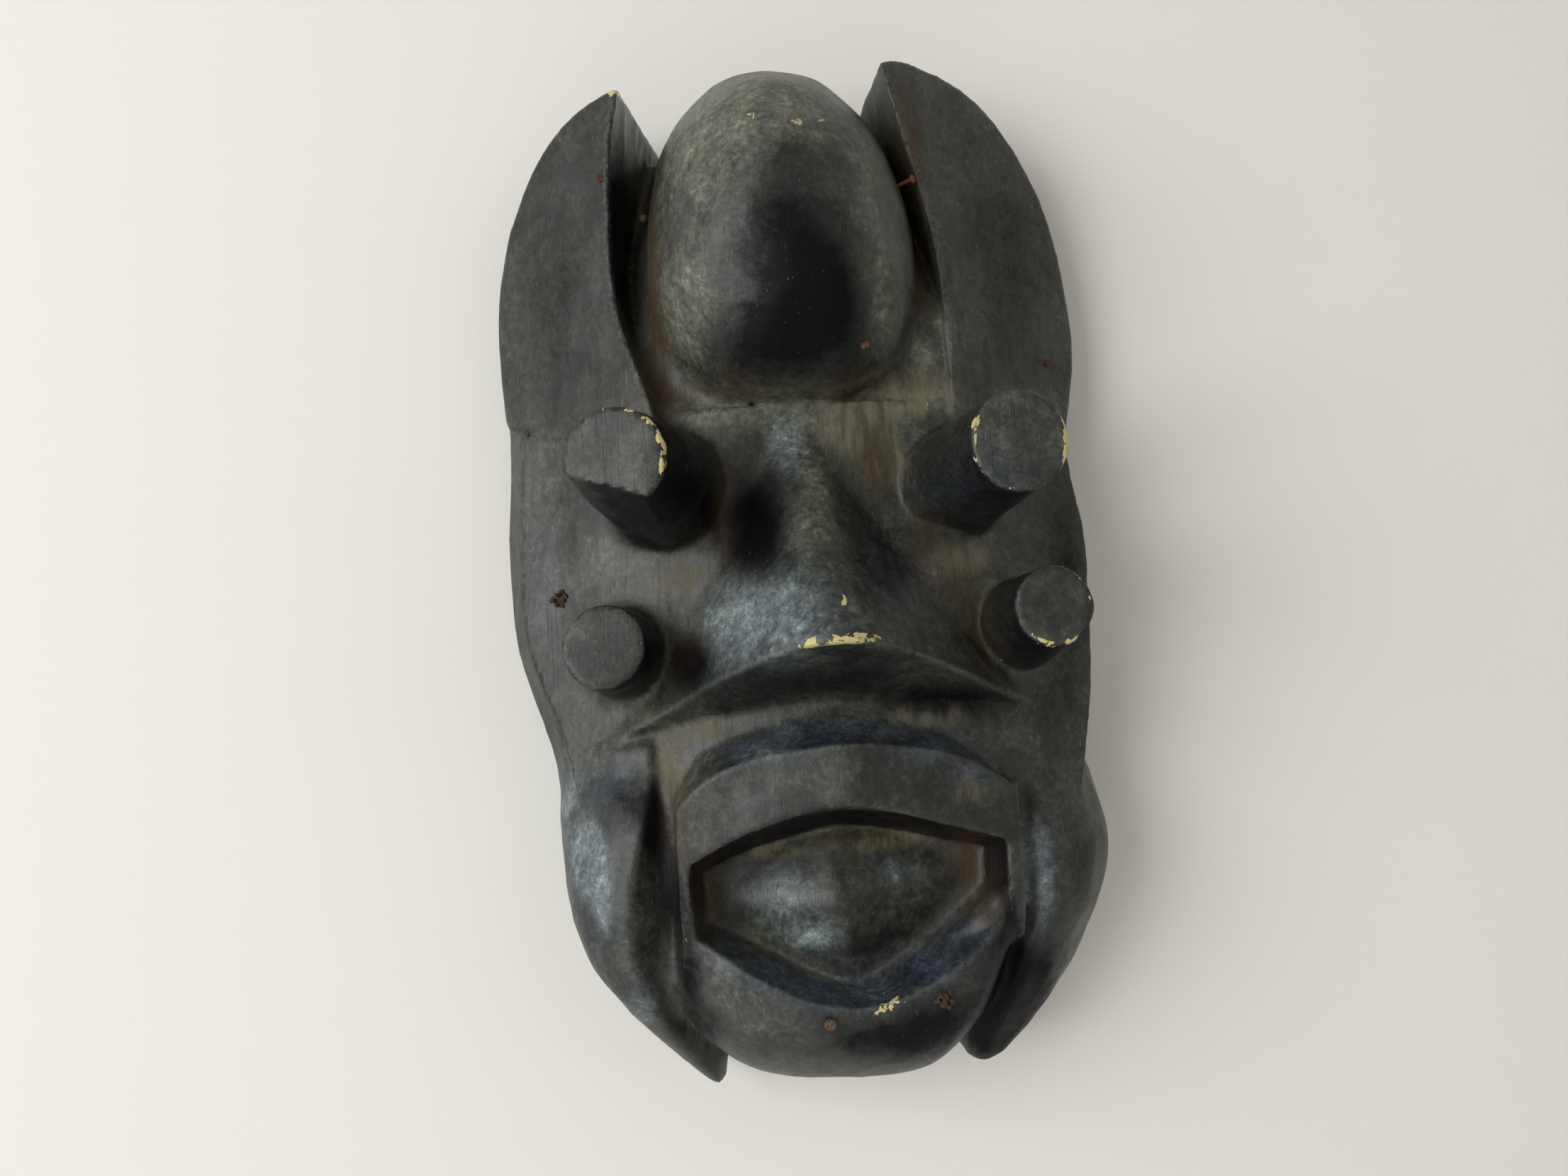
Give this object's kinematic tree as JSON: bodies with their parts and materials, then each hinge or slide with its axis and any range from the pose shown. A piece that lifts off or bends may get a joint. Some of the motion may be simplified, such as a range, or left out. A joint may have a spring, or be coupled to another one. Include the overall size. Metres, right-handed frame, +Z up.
{
  "type": "carved wooden mask",
  "caption": "Tall carved wooden wall mask with horn plates, a domed crown, tube eyes, an open mouth and tusks, hollow behind and hung by a wire ring.",
  "frame": {"origin": "the point inside the top of the hanger ring where the wall hook bears, with the ring turned up", "axes": "+Z up the face, +Y into the wall, so the face looks along -Y, +X to the right as it is looked at"},
  "size_m": [0.259, 0.1455, 0.4262],
  "materials": {
    "painted_wood": "worn dark green-black paint on carved wood, rubbed satin on the high spots, dusty brown in the grooves, bare yellow wood at chipped edges, bare brown wood behind",
    "rusted_iron": "rusted wrought nails, flaky and matt",
    "plated_steel": "aged zinc plating, dulled and slightly stained",
    "screw_brass": "tarnished brass-plated screws"
  },
  "bodies": {
    "mask": {"carved_mask": "painted_wood", "nail_left_horn": "rusted_iron", "nail_left_groove": "rusted_iron", "nail_right_groove": "rusted_iron", "nail_forehead": "rusted_iron", "nail_right_horn": "rusted_iron", "nail_left_cheek": "rusted_iron", "nail_chin": "rusted_iron", "bent_nail_cheek": "rusted_iron", "bent_nail_chin": "rusted_iron", "hanger_strap": "plated_steel", "hanger_screw_upper": "screw_brass", "hanger_screw_lower": "screw_brass"},
    "ring": {"hanger_ring": "plated_steel"}
  },
  "joints": [
    {"name": "ring_swing", "type": "hinge", "parent": "mask", "child": "ring", "pos_m": [0, 0, -0.0135], "axis": [-1, 0, 0], "range_deg": [0, 175]}
  ]
}
